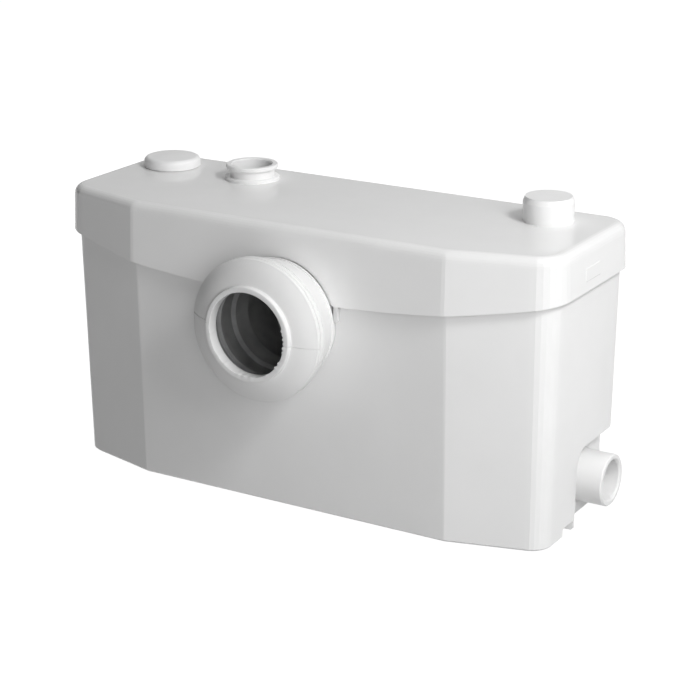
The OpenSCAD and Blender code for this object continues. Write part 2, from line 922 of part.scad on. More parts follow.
module side_inlet() {
    step_depth = 20;
    mouth = 1.6;
    inner_bore = spigot_bore - 2.7;
    end = recess_x + spigot_reach - spigot_seat_x;
    ear_drop = 2.7;
    ear_rise = 4;
    ear_x = inlet_pin_x - 3.5;
    difference() {
        union() {
            on_spigot(spigot_seat_x)
                rotate_extrude()
                    polygon([
                        [inner_bore, 0],
                        [spigot_flange_r, 0],
                        [spigot_flange_r, spigot_flange_t],
                        [spigot_root_r, spigot_flange_t],
                        [spigot_root_r, end - spigot_reach],
                        [spigot_r, end - spigot_reach],
                        [spigot_r, end - 1],
                        [spigot_r - 1, end],
                        [spigot_bore + mouth, end],
                        [spigot_bore, end - mouth],
                        [spigot_bore, end - step_depth],
                        [inner_bore, end - step_depth]
                    ]);
            for (side = [0, 1])
                translate([ear_x, spigot_y, inlet_pin_z - ear_drop])
                    mirror([0, side, 0])
                        translate([0, inlet_ear_in, 0])
                            cube([spigot_seat_x - ear_x + cut, inlet_ear_t, ear_drop + ear_rise]);
        }
        inlet_pin_bore();
        translate([ear_x, spigot_y - spigot_flange_r, floor_t + seat_gap - spigot_z])
            cube([recess_inner_x - ear_x, 2 * spigot_flange_r, spigot_z]);
    }
}

module inlet_pin_bore() {
    translate([inlet_pin_x, spigot_y, inlet_pin_z])
        rotate([90, 0, 0])
            cylinder(r = inlet_pin_r + turn_fit, h = 2 * spigot_r, center = true);
}

module side_inlet_right() {
    color(shell_white)
        side_inlet();
}

module side_inlet_left() {
    color(shell_white)
        mirror([1, 0, 0])
            side_inlet();
}

module side_inlet_seals() {
    color(dark_rubber)
        for (side = [0, 1])
            mirror([side, 0, 0])
                on_spigot(recess_inner_x - spigot_seal_t)
                    ring(spigot_hole_r + spigot_seal_w, spigot_hole_r, spigot_seal_t);
}

module inlet_flap() {
    arm_w = 14;
    flap_x = inlet_pin_x - inlet_flap_t / 2;
    difference() {
        union() {
            on_spigot(flap_x)
                cylinder(r = inlet_flap_r, h = inlet_flap_t);
            translate([flap_x, spigot_y - arm_w / 2, spigot_z + inlet_flap_r / 2])
                cube([inlet_flap_t, arm_w, inlet_pin_z - spigot_z - inlet_flap_r / 2]);
            translate([inlet_pin_x, spigot_y, inlet_pin_z])
                rotate([90, 0, 0])
                    cylinder(r = inlet_barrel_r, h = 2 * (inlet_ear_in - lift_gap), center = true);
        }
        inlet_pin_bore();
    }
}

module inlet_flap_right() {
    color(dark_rubber)
        inlet_flap();
}

module inlet_flap_left() {
    color(dark_rubber)
        mirror([1, 0, 0])
            inlet_flap();
}

module inlet_flap_pins() {
    color(steel)
        for (side = [-1, 1])
            translate([side * inlet_pin_x, spigot_y, inlet_pin_z])
                rotate([90, 0, 0])
                    cylinder(r = inlet_pin_r, h = 2 * (inlet_ear_in + inlet_ear_t + 1), center = true);
}

// Lid fittings

module blanking_cap() {
    plug_r = cap_hole_r - lift_gap;
    plug_h = lid_t + 8;
    plug_wall = 2.2;
    edge_r = 4.5;
    crown = 1;
    under_w = 1.6;
    under_h = 0.9;
    color(soft_white)
        translate([-cap_x, cap_y, lid_top])
            rotate_extrude()
                polygon(concat(
                    [
                        [0, 0],
                        [plug_r - plug_wall, 0],
                        [plug_r - plug_wall, -plug_h],
                        [plug_r - 1, -plug_h],
                        [plug_r, 1 - plug_h],
                        [plug_r, 0],
                        [cap_r - under_w, 0],
                        [cap_r - under_w, under_h],
                        [cap_r, under_h]
                    ],
                    [
                        for (t = [0 : 15 : 90])
                            [
                                cap_r - edge_r + edge_r * cos(t),
                                cap_h - crown - edge_r + edge_r * sin(t)
                            ]
                    ],
                    [[0, cap_h]]
                ));
}

module top_sleeve() {
    base_t = 3;
    rim_t = 5;
    round = 1;
    tail_bore = riser_r + lift_gap;
    tail_z = -lid_t - seat_gap;
    color(soft_white)
        on_riser(lid_top)
            rotate_extrude()
                polygon([
                    [tail_bore, tail_z - top_tail],
                    [top_neck_r + top_tail_w, tail_z - top_tail],
                    [top_neck_r + top_tail_w, tail_z],
                    [top_neck_r, tail_z],
                    [top_neck_r, 0],
                    [top_base_r, 0],
                    [top_base_r, base_t - round],
                    [top_base_r - round, base_t],
                    [top_neck_r, base_t],
                    [top_neck_r, top_h - rim_t],
                    [top_rim_r - round, top_h - rim_t + round],
                    [top_rim_r, top_h - rim_t + 2 * round],
                    [top_rim_r, top_h - round],
                    [top_rim_r - round, top_h],
                    [top_bore + round, top_h],
                    [top_bore, top_h - round],
                    [top_bore, -top_ledge],
                    [tail_bore, -top_ledge]
                ]);
}

module vent_cap() {
    bevel = 2;
    bevel_h = 4.5;
    taper = 0.5;
    notch_w = 6;
    notch_h = 2;
    inner_r = vent_r - vent_wall;
    color(soft_white)
        translate([vent_x, cap_y, lid_top])
            difference() {
                rotate_extrude()
                    polygon([
                        [inner_r, 0],
                        [vent_r - taper, 0],
                        [vent_r, vent_h - bevel_h],
                        [vent_r - bevel, vent_h],
                        [0, vent_h],
                        [0, vent_h - vent_wall],
                        [inner_r, vent_h - vent_wall]
                    ]);
                for (turn = [60, 90, 120])
                    rotate([0, 0, turn])
                        translate([inner_r - cut, -notch_w / 2, -cut])
                            cube([vent_wall + 2 * cut, notch_w, notch_h + cut]);
            }
}

module vent_filter() {
    color(charcoal)
        translate([vent_x, cap_y, lid_top + vent_boss_h])
            cylinder(r = vent_r - vent_wall - seat_gap, h = vent_filter_h);
}

// Motor

module motor_housing() {
    color(cast_metal)
        on_shaft(motor_z)
            difference() {
                union() {
                    difference() {
                        union() {
                            cylinder(r = motor_r, h = motor_h);
                            translate([0, 0, motor_h - motor_rim_h])
                                cylinder(r = motor_rim_r, h = motor_rim_h);
                            translate([0, 0, lead_z - motor_z])
                                rotate([0, 90, 0])
                                    cylinder(r = lead_boss_r, h = lead_boss_x);
                        }
                        translate([0, 0, motor_base_t])
                            cylinder(r = motor_r - motor_wall, h = motor_h);
                    }
                    cylinder(r = bearing_boss_r, h = bearing_lip + bearing_h);
                }
                translate([0, 0, bearing_lip])
                    cylinder(r = bearing_r + turn_fit, h = motor_h);
                translate([0, 0, -cut])
                    cylinder(r = shaft_r + shaft_gap, h = motor_h);
                translate([0, 0, lead_z - motor_z])
                    rotate([0, 90, 0])
                        cylinder(r = lead_r + turn_fit, h = lead_boss_x + cut);
                around(4, pump_screw_ring)
                    translate([0, 0, -cut])
                        cylinder(r = screw_r + turn_fit, h = pump_screw_grip + 2 * cut);
                around(4, motor_screw_ring, 45)
                    translate([0, 0, motor_h - motor_rim_h - cut])
                        cylinder(r = screw_r + turn_fit, h = motor_rim_h + 2 * cut);
            }
}

module motor_cover() {
    boss_h = cover_z - upper_bearing_z;
    seal_from = upper_seal_z - cover_z;
    color(cast_metal)
        on_shaft(cover_z)
            difference() {
                union() {
                    cylinder(r = motor_rim_r, h = cover_t);
                    translate([0, 0, -boss_h])
                        cylinder(r = bearing_boss_r, h = boss_h + cut);
                }
                translate([0, 0, -boss_h - cut])
                    cylinder(r = bearing_r + turn_fit, h = bearing_h + cut);
                translate([0, 0, -cut])
                    cylinder(r = shaft_r + shaft_gap, h = cover_t);
                translate([0, 0, seal_from])
                    cylinder(r = shaft_seal_r + turn_fit, h = cover_t);
                around(4, motor_screw_ring, 45) {
                    translate([0, 0, -cut])
                        cylinder(r = screw_r + turn_fit, h = cover_t + 2 * cut);
                    translate([0, 0, cover_t - screw_head_h - seat_gap])
                        cylinder(r = screw_head_r + seat_gap, h = cover_t);
                }
                around(3, basket_screw_ring, 30)
                    translate([0, 0, -cut])
                        cylinder(r = screw_r + turn_fit, h = cover_t + 2 * cut);
            }
}

module motor_screws() {
    color(steel)
        on_shaft(basket_z - screw_head_h - seat_gap)
            around(4, motor_screw_ring, 45)
                screw(screw_r, screw_head_r, screw_head_h, cover_t - screw_head_h - seat_gap + motor_rim_h);
}

module stator() {
    color(steel)
        on_shaft(stack_z)
            ring(motor_r - motor_wall - turn_fit, rotor_r + air_gap, stack_h);
}

module stator_windings() {
    inset = 4;
    bore_gap = 3;
    color(copper)
        on_shaft(0)
            for (z = [stack_z - winding_h, stack_z + stack_h])
                translate([0, 0, z])
                    ring(motor_r - motor_wall - inset, rotor_r + air_gap + bore_gap, winding_h);
}

module rotor_core() {
    color(steel)
        on_shaft(stack_z)
            ring(rotor_r, shaft_r + turn_fit, stack_h);
}

module shaft() {
    tap_depth = 12;
    shaft_top = knife_z + knife_t;
    color(steel)
        on_shaft(impeller_z)
            difference() {
                union() {
                    cylinder(r = shaft_r, h = shaft_top - impeller_z);
                    cylinder(r = thread_r, h = shaft_top - impeller_z + thread_len);
                }
                translate([0, 0, -cut])
                    cylinder(r = screw_r + turn_fit, h = tap_depth + cut);
            }
}

module bearing(z) {
    on_shaft(z)
        ring(bearing_r, shaft_r + turn_fit, bearing_h);
}

module upper_bearing() {
    color(steel)
        bearing(upper_bearing_z);
}

module lower_bearing() {
    color(steel)
        bearing(lower_bearing_z);
}

module shaft_seal(z) {
    on_shaft(z)
        ring(shaft_seal_r, shaft_r + turn_fit, seal_t);
}

module upper_shaft_seal() {
    color(dark_rubber)
        shaft_seal(upper_seal_z);
}

module lower_shaft_seal() {
    color(dark_rubber)
        shaft_seal(motor_z - seal_t);
}

module motor_feet() {
    color(dark_rubber)
        on_shaft(floor_t)
            for (sx = [-1, 1], sy = [-1, 1])
                translate([sx * foot_offset, sy * foot_offset, 0])
                    cylinder(r = foot_r, h = foot_h);
}

// Lead from the switch box down to the motor: two straight runs, two bends and an entry at each end
module motor_lead() {
    box_entry = box_left + box_wall + lead_grip;
    motor_entry = lead_boss_x - lead_grip;
    color(dark_rubber)
        translate([0, shaft_y, 0])
            union() {
                translate([lead_x + lead_bend, 0, box_lead_z])
                    rotate([0, 90, 0])
                        cylinder(r = lead_r, h = box_entry - lead_x - lead_bend);
                translate([lead_x + lead_bend, 0, box_lead_z - lead_bend])
                    rotate([90, 0, 0])
                        rotate([0, 0, 90])
                            rotate_extrude(angle = 90)
                                translate([lead_bend, 0])
                                    circle(r = lead_r);
                translate([lead_x, 0, lead_z + lead_bend])
                    cylinder(r = lead_r, h = box_lead_z - lead_z - 2 * lead_bend);
                translate([lead_x - lead_bend, 0, lead_z + lead_bend])
                    rotate([90, 0, 0])
                        rotate([0, 0, 270])
                            rotate_extrude(angle = 90)
                                translate([lead_bend, 0])
                                    circle(r = lead_r);
                translate([motor_entry, 0, lead_z])
                    rotate([0, 90, 0])
                        cylinder(r = lead_r, h = lead_x - lead_bend - motor_entry);
            }
}

// Macerator

module knife() {
    tip_t = 5;
    end_w = knife_w / 2;
    edge_from = 0.55 * knife_r;
    back_from = 0.3 * knife_r;
    color(steel)
        on_shaft(knife_z)
            difference() {
                union() {
                    translate([0, 0, knife_hub_gap + basket_z - knife_z])
                        cylinder(r = knife_hub_r, h = knife_z - basket_z - knife_hub_gap + knife_t / 2);
                    for (turn = [0, 180])
                        rotate([0, 0, turn]) {
                            linear_extrude(knife_t)
                                polygon([
                                    [0, -knife_w / 2],
                                    [edge_from, -knife_w / 2],
                                    [knife_r, -end_w / 2],
                                    [knife_r, end_w / 2],
                                    [back_from, knife_w / 2],
                                    [0, knife_w / 2]
                                ]);
                            translate([knife_r - tip_t, -end_w / 2, 0])
                                cube([tip_t, end_w, knife_t + knife_tip_h]);
                        }
                }
                translate([0, 0, basket_z - knife_z])
                    cylinder(r = shaft_r + turn_fit, h = knife_z - basket_z + knife_t + cut);
            }
}

module knife_nut() {
    nut_r = 10;
    color(steel)
        on_shaft(knife_z + knife_t)
            difference() {
                cylinder(r = nut_r, h = knife_nut_h, $fn = 6);
                translate([0, 0, -cut])
                    cylinder(r = thread_r + turn_fit, h = knife_nut_h + 2 * cut);
            }
}

module grinder_basket() {
    slot_start = 90 - basket_slot_step * (basket_slots - 1) / 2;
    color(dark_plastic)
        difference() {
            on_shaft(basket_z)
                difference() {
                    union() {
                        cylinder(r = basket_r, h = basket_len);
                        translate([0, 0, basket_len - basket_flange])
                            cylinder(r = basket_r + basket_flange, h = basket_flange);
                    }
                    translate([0, 0, basket_floor_t])
                        cylinder(r = basket_r - basket_wall, h = basket_len);
                    translate([0, 0, -cut])
                        cylinder(r = basket_hole_r, h = basket_len);
                    around(3, basket_screw_ring, 30)
                        translate([0, 0, -cut])
                            cylinder(r = screw_r + turn_fit, h = basket_floor_t + 2 * cut);
                    for (i = [0 : basket_slots - 1])
                        rotate([0, 0, slot_start + i * basket_slot_step])
                            translate([basket_r - 2 * basket_wall, -basket_slot_w / 2, basket_slot_z])
                                cube([3 * basket_wall, basket_slot_w, basket_slot_h]);
                }
            on_inlet()
                translate([0, 0, front_y - shaft_y])
                    cylinder(r = liner_bore, h = shaft_y - front_y);
        }
}

module basket_cover() {
    grip_r = 18;
    grip_t = 3;
    grip_h = 6;
    color(grey_plastic)
        on_shaft(basket_rim_z) {
            cylinder(r = basket_r + basket_flange, h = basket_cover_t);
            ring(grip_r, grip_r - grip_t, basket_cover_t + grip_h);
        }
}

module basket_screws() {
    color(steel)
        on_shaft(basket_z + basket_floor_t)
            around(3, basket_screw_ring, 30)
                screw(screw_r, screw_head_r, basket_head_h, basket_floor_t + cover_t);
}

// Pump

module pump_casing() {
    color(grey_plastic)
        on_shaft(casing_z)
            difference() {
                union() {
                    cylinder(r = casing_r, h = chamber_h + casing_top_t);
                    translate([-outlet_end, outlet_off, outlet_z - casing_z])
                        rotate([0, 90, 0])
                            cylinder(r = outlet_r, h = outlet_end);
                }
                translate([0, 0, -cut])
                    cylinder(r = chamber_r, h = chamber_h + cut);
                translate([-outlet_end - cut, outlet_off, outlet_z - casing_z])
                    rotate([0, 90, 0])
                        cylinder(r = outlet_bore, h = outlet_end + cut);
                translate([0, 0, -outlet_r])
                    cylinder(r = casing_r + seat_gap, h = outlet_r);
                translate([0, 0, -cut])
                    cylinder(r = shaft_seal_r + turn_fit, h = chamber_h + casing_top_t + 2 * cut);
                around(4, pump_screw_ring)
                    translate([0, 0, -cut])
                        cylinder(r = screw_r + turn_fit, h = chamber_h + casing_top_t + 2 * cut);
            }
}

module suction_plate() {
    color(grey_plastic)
        on_shaft(suction_z)
            difference() {
                ring(casing_r, eye_r, suction_t);
                around(4, pump_screw_ring)
                    translate([0, 0, -cut])
                        cylinder(r = screw_r + turn_fit, h = suction_t + 2 * cut);
            }
}

module pump_screws() {
    depth = suction_t + chamber_h + casing_top_t + pump_screw_grip;
    color(steel)
        on_shaft(suction_z)
            around(4, pump_screw_ring)
                mirror([0, 0, 1])
                    screw(screw_r, screw_head_r, screw_head_h, depth);
}

// Backward-swept vane between the hub and the impeller's edge
function vane_point(r, side) =
    let (
        along = (r - impeller_hub_r) / (impeller_r - impeller_hub_r),
        turn = vane_sweep * along + side * vane_t / 2 / r * 180 / PI
    )
        [r * cos(turn), r * sin(turn)];

function vane_radii(steps) =
    let (from = impeller_hub_r - cut, to = impeller_r - vane_in)
        [for (i = [0 : steps]) from + (to - from) * i / steps];

module impeller() {
    radii = vane_radii(8);
    last = len(radii) - 1;
    color(grey_plastic)
        on_shaft(impeller_z)
            difference() {
                union() {
                    cylinder(r = impeller_hub_r, h = impeller_h);
                    translate([0, 0, impeller_h - shroud_t])
                        cylinder(r = impeller_r, h = shroud_t);
                    for (i = [0 : vanes - 1])
                        rotate([0, 0, i * 360 / vanes])
                            linear_extrude(impeller_h - shroud_t + cut)
                                polygon(concat(
                                    [for (k = [0 : last]) vane_point(radii[k], 1)],
                                    [for (k = [last : -1 : 0]) vane_point(radii[k], -1)]
                                ));
                }
                translate([0, 0, -cut])
                    cylinder(r = shaft_r + turn_fit, h = impeller_h + 2 * cut);
            }
}

module impeller_screw() {
    head_in = 2;
    depth = 10;
    color(steel)
        on_shaft(impeller_z)
            mirror([0, 0, 1])
                screw(screw_r, impeller_hub_r - head_in, screw_head_h, depth);
}

// Discharge

module outlet_hose() {
    color(dark_rubber)
        translate([-outlet_end - hose_gap - hose_grip, riser_y, outlet_z])
            rotate([0, 90, 0])
                ring(outlet_r + hose_wall, outlet_r + turn_fit, hose_gap + 2 * hose_grip);
}

module hose_clamps() {
    grip_x = hose_grip / 2;
    color(steel)
        for (x = [grip_x - outlet_end, -outlet_end - hose_gap - grip_x])
            translate([x - clamp_w / 2, riser_y, outlet_z])
                rotate([0, 90, 0])
                    ring(outlet_r + hose_wall + turn_fit + clamp_t, outlet_r + hose_wall + turn_fit, clamp_w);
}

module valve_elbow() {
    color(grey_plastic)
        difference() {
            union() {
                on_riser(floor_t)
                    cylinder(r = elbow_r, h = valve_z - floor_t);
                on_riser(valve_z - valve_flange_t)
                    cylinder(r = valve_flange_r, h = valve_flange_t);
                translate([-riser_x, riser_y, outlet_z])
                    rotate([0, 90, 0])
                        cylinder(r = outlet_r, h = riser_x - outlet_end - hose_gap);
            }
            on_riser(outlet_z - outlet_bore)
                cylinder(r = seat_bore, h = valve_z);
            translate([-riser_x, riser_y, outlet_z])
                rotate([0, 90, 0])
                    cylinder(r = outlet_bore, h = riser_x);
            valve_screw_holes();
        }
}

module valve_screw_holes() {
    on_riser(valve_z - valve_flange_t - cut)
        around(4, valve_screw_ring, 45)
            cylinder(r = screw_r + turn_fit, h = 2 * valve_flange_t + 2 * cut);
}

// Seat of the flap's pin, open downward so that the pin drops in
module flap_pin_seat() {
    half = flap_pin_half + seat_gap;
    translate([-riser_x - half, flap_pin_y, flap_pin_z])
        rotate([0, 90, 0])
            cylinder(r = flap_pin_r + turn_fit, h = 2 * half);
    translate([-riser_x - half, flap_pin_y - flap_pin_r - turn_fit, valve_z - cut])
        cube([2 * half, 2 * (flap_pin_r + turn_fit), flap_pin_z - valve_z + cut]);
}

module riser_pipe() {
    cone_h = 14;
    chamber_top = valve_z + valve_h;
    color(grey_plastic)
        difference() {
            on_riser(0)
                rotate_extrude()
                    polygon([
                        [valve_r, valve_z],
                        [valve_flange_r, valve_z],
                        [valve_flange_r, valve_z + valve_flange_t],
                        [valve_r + pipe_wall, valve_z + valve_flange_t],
                        [valve_r + pipe_wall, chamber_top],
                        [riser_r, chamber_top + cone_h],
                        [riser_r, riser_top],
                        [riser_bore, riser_top],
                        [riser_bore, chamber_top + cone_h],
                        [valve_r, chamber_top]
                    ]);
            flap_pin_seat();
            valve_screw_holes();
        }
}

module valve_screws() {
    color(steel)
        on_riser(valve_z + valve_flange_t)
            around(4, valve_screw_ring, 45)
                screw(screw_r, screw_head_r, screw_head_h, 2 * valve_flange_t + cut);
}

module discharge_flap() {
    barrel_half = 8;
    arm_half = 7;
    color(dark_rubber)
        difference() {
            union() {
                on_riser(valve_z + seat_gap)
                    cylinder(r = flap_r, h = flap_t);
                translate([-riser_x - arm_half, riser_y, valve_z + seat_gap])
                    cube([2 * arm_half, flap_pin_y - riser_y, flap_t]);
                translate([-riser_x, flap_pin_y, flap_pin_z])
                    rotate([0, 90, 0])
                        cylinder(r = flap_barrel_r, h = 2 * barrel_half, center = true);
            }
            translate([-riser_x, flap_pin_y, flap_pin_z])
                rotate([0, 90, 0])
                    cylinder(r = flap_pin_r + turn_fit, h = 4 * barrel_half, center = true);
        }
}

module discharge_flap_pin() {
    color(steel)
        translate([-riser_x, flap_pin_y, flap_pin_z])
            rotate([0, 90, 0])
                cylinder(r = flap_pin_r, h = 2 * flap_pin_half, center = true);
}

// Level switch

module bell_screw_holes(z, h) {
    on_bell(z - cut)
        around(4, bell_screw_ring)
            cylinder(r = bell_screw_r + turn_fit, h = h + 2 * cut);
}

module pressure_bell() {
    notch_w = 14;
    color(grey_plastic)
        difference() {
            union() {
                on_bell(floor_t)
                    cylinder(r = bell_r, h = bell_top - floor_t);
                on_bell(bell_top - bell_flange_t)
                    cylinder(r = bell_flange_r, h = bell_flange_t);
            }
            on_bell(floor_t - cut)
                cylinder(r = bell_r - bell_wall, h = bell_top);
            on_bell(floor_t - cut)
                around(4, bell_r, 45)
                    translate([-bell_r / 2, -notch_w / 2, 0])
                        cube([bell_r, notch_w, bell_notch_h + cut]);
            bell_screw_holes(bell_top - bell_flange_t, bell_flange_t);
        }
}

module diaphragm() {
    color(dark_rubber)
        difference() {
            on_bell(bell_top + seat_gap)
                cylinder(r = bell_flange_r, h = diaphragm_t);
            bell_screw_holes(bell_top, diaphragm_t);
        }
}

module plunger() {
    color(soft_white)
        on_bell(box_z) {
            cylinder(r = plunger_r, h = plunger_t);
            cylinder(r = stem_r, h = stem_top - box_z - stem_tip_h);
            cylinder(r = stem_tip_r, h = stem_top - box_z);
        }
}

// Table over the plunger: it guides the stem and carries the switch on a bracket with two pegs
module switch_table() {
    leg_y = 19;
    leg_t = 3;
    left = -plunger_r;
    right = lever_arm + 2 * switch_ear_x + 2;
    bracket_y = switch_w / 2 + seat_gap;
    on_bell(0)
        difference() {
            union() {
                translate([left, -leg_y - leg_t, table_z])
                    cube([right - left, 2 * (leg_y + leg_t), table_t]);
                for (y = [-leg_y - leg_t, leg_y])
                    translate([left, y, box_z])
                        cube([right - left, leg_t, table_z - box_z + cut]);
                translate([left, bracket_y, table_z])
                    cube([right - left, bracket_t, switch_z + switch_h - table_z]);
                switch_pegs(peg_r, bracket_t / 2 + seat_gap + switch_w);
            }
            translate([0, 0, table_z - cut])
                cylinder(r = stem_r + turn_fit, h = table_t + 2 * cut);
        }
}

// Two pegs from the middle of the bracket towards the front, through the switch body
module switch_pegs(r, length) {
    for (x = [switch_left + peg_in, switch_left + switch_l - peg_in])
        translate([x, switch_w / 2 + seat_gap + bracket_t / 2, switch_z + switch_h / 2])
            rotate([90, 0, 0])
                cylinder(r = r, h = length);
}

module switch_housing() {
    color(grey_plastic)
        difference() {
            union() {
                difference() {
                    translate([box_left, box_front, box_z])
                        cube([box_right - box_left, box_rear - box_front, box_h]);
                    translate([box_left + box_wall, box_front + box_wall, box_floor_z])
                        cube([
                            box_right - box_left - 2 * box_wall,
                            box_rear - box_front - 2 * box_wall,
                            box_h
                        ]);
                    on_bell(box_z - cut)
                        cylinder(r = box_hole_r, h = box_floor_t + 2 * cut);
                }
                switch_table();
            }
            bell_screw_holes(box_z, box_floor_t);
            translate([box_left - cut, shaft_y, box_lead_z])
                rotate([0, 90, 0])
                    cylinder(r = lead_r + turn_fit, h = box_wall + 2 * cut);
        }
}

module switch_cover() {
    plate_t = 2.5;
    lip_h = 4;
    lip_t = 2;
    lip_in = box_wall + seat_gap;
    color(grey_plastic) {
        translate([box_left, box_front, box_z + box_h])
            cube([box_right - box_left, box_rear - box_front, plate_t]);
        difference() {
            translate([box_left + lip_in, box_front + lip_in, box_z + box_h - lip_h])
                cube([
                    box_right - box_left - 2 * lip_in,
                    box_rear - box_front - 2 * lip_in,
                    lip_h + cut
                ]);
            translate([box_left + lip_in + lip_t, box_front + lip_in + lip_t, box_z + box_h - lip_h - cut])
                cube([
                    box_right - box_left - 2 * (lip_in + lip_t),
                    box_rear - box_front - 2 * (lip_in + lip_t),
                    lip_h + cut
                ]);
        }
    }
}

module bell_screws() {
    color(steel)
        on_bell(box_floor_z)
            around(4, bell_screw_ring)
                screw(bell_screw_r, bell_head_r, bell_head_h, box_floor_z - bell_top + bell_flange_t);
}

module microswitch() {
    ear_z = lever_pin_z - 2 * lever_pin_r;
    button_r = 1.5;
    button_arm = 8;
    button_h = lever_rise - plunger_lift * button_arm / lever_arm;
    color(dark_plastic)
        on_bell(0)
            difference() {
                union() {
                    translate([switch_left, -switch_w / 2, switch_z])
                        cube([switch_l, switch_w, switch_h]);
                    for (y = [-switch_w / 2, switch_w / 2 - switch_ear_t])
                        translate([lever_arm - switch_ear_x, y, ear_z])
                            cube([2 * switch_ear_x, switch_ear_t, switch_z - ear_z + cut]);
                    translate([lever_arm - button_arm, 0, switch_z - button_h])
                        cylinder(r = button_r, h = button_h + cut);
                }
                translate([lever_arm, 0, lever_pin_z])
                    rotate([90, 0, 0])
                        cylinder(r = lever_pin_r + turn_fit, h = 2 * switch_w, center = true);
                switch_pegs(peg_r + turn_fit, 2 * switch_w);
            }
}

module switch_lever() {
    color(steel)
        on_bell(lever_pin_z) {
            translate([lever_arm - lever_len, -lever_w / 2, -lever_t / 2])
                cube([lever_len, lever_w, lever_t]);
            translate([lever_arm, 0, 0])
                rotate([90, 0, 0])
                    cylinder(r = lever_pin_r, h = switch_w - lift_gap, center = true);
        }
}

module terminal_block() {
    block = [14, 14, 12];
    poles = 3;
    pole_r = 1.6;
    color(dark_plastic)
        translate([box_left + box_wall + seat_gap, box_front + box_wall + seat_gap, box_floor_z])
            difference() {
                cube(block);
                for (i = [0 : poles - 1])
                    translate([block[0] / 2, block[1] * (i + 0.5) / poles, block[2] / 2])
                        cylinder(r = pole_r, h = block[2]);
            }
}

module capacitor() {
    tag_x = 5;
    color(soft_white)
        translate([capacitor_x, shaft_y, box_floor_z]) {
            cylinder(r = capacitor_r, h = capacitor_h);
            for (x = [-tag_x, tag_x])
                translate([x - capacitor_tag[0] / 2, -capacitor_tag[1] / 2, capacitor_h])
                    cube(capacitor_tag);
        }
}

// Cable gland in the rear wall
module cable_gland() {
    wall_gap = 0.25;
    color(dark_rubber)
        translate([gland_x, rear_y + tank_off(gland_z), gland_z])
            rotate([-90, 0, 0])
                rotate_extrude()
                    polygon([
                        [gland_bore, -tank_wall - wall_gap - gland_flange_t],
                        [gland_r, -tank_wall - wall_gap - gland_flange_t],
                        [gland_r, -tank_wall - wall_gap],
                        [gland_neck_r, -tank_wall - wall_gap],
                        [gland_neck_r, wall_gap],
                        [gland_r, wall_gap],
                        [gland_r - 1, wall_gap + gland_flange_t],
                        [gland_bore, wall_gap + gland_flange_t]
                    ]);
}

tank();
lid();
lid_seal();
inlet_collar();
wc_sleeve();
inlet_liner();
side_inlet_right();
side_inlet_left();
side_inlet_seals();
inlet_flap_right();
inlet_flap_left();
inlet_flap_pins();
blanking_cap();
top_sleeve();
vent_cap();
vent_filter();
motor_housing();
motor_cover();
motor_screws();
stator();
stator_windings();
rotor_core();
shaft();
upper_bearing();
lower_bearing();
upper_shaft_seal();
lower_shaft_seal();
motor_feet();
motor_lead();
knife();
knife_nut();
grinder_basket();
basket_cover();
basket_screws();
pump_casing();
suction_plate();
impeller();
impeller_screw();
pump_screws();
outlet_hose();
hose_clamps();
valve_elbow();
riser_pipe();
valve_screws();
discharge_flap();
discharge_flap_pin();
pressure_bell();
diaphragm();
plunger();
switch_housing();
switch_cover();
bell_screws();
microswitch();
switch_lever();
terminal_block();
capacitor();
cable_gland();
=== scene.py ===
"""Looks of the macerator toilet pump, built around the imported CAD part."""

import json
import math

import bmesh
import bpy
from mathutils import Matrix, Vector


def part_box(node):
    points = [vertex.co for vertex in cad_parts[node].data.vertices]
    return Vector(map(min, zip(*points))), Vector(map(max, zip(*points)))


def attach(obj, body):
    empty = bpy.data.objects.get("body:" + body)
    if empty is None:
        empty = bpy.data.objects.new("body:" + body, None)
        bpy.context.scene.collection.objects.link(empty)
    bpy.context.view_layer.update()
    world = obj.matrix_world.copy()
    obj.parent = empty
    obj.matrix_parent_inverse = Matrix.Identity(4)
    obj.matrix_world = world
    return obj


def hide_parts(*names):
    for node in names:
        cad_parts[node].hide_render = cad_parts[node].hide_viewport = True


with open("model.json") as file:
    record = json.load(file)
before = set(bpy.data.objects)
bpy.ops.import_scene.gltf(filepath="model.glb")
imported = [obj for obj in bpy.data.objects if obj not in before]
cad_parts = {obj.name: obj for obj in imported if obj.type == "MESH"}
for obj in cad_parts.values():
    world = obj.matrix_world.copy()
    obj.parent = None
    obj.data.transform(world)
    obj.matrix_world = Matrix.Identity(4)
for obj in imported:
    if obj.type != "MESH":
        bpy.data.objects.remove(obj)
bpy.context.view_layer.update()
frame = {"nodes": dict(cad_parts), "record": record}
NODES = frame["nodes"]
MM = 0.001
WHITE = (1.0, 1.0, 1.0, 1.0)


def set_inputs(node, values):
    """Sets sockets of a node by their names."""
    for key, value in values.items():
        node.inputs[key].default_value = value


# Studio

# Camera, from a fit of the body's straight edges: place and far limit in metres, turns in
# degrees, lens and sensor in millimetres
CAMERA_PLACE = (0.90518, -1.461896, 0.71894)
CAMERA_YAW = 30.847
CAMERA_PITCH = -18.847
CAMERA_ROLL = -0.118
CAMERA_LENS = 103.34
CAMERA_SENSOR = 36.0
CAMERA_FAR = 60.0

# Soft light of the room: direction it comes from, cosine at which it starts, strength
ROOM = (
    ((0.3, -0.6, -0.7), 0.0, 0.22),
    ((0.6, -0.6, -0.5), 0.0, 0.1),
    ((0.5, -0.2, -0.8), 0.3, 0.15),
    ((0.0, 1.0, 0.5), 0.0, 0.52),
)

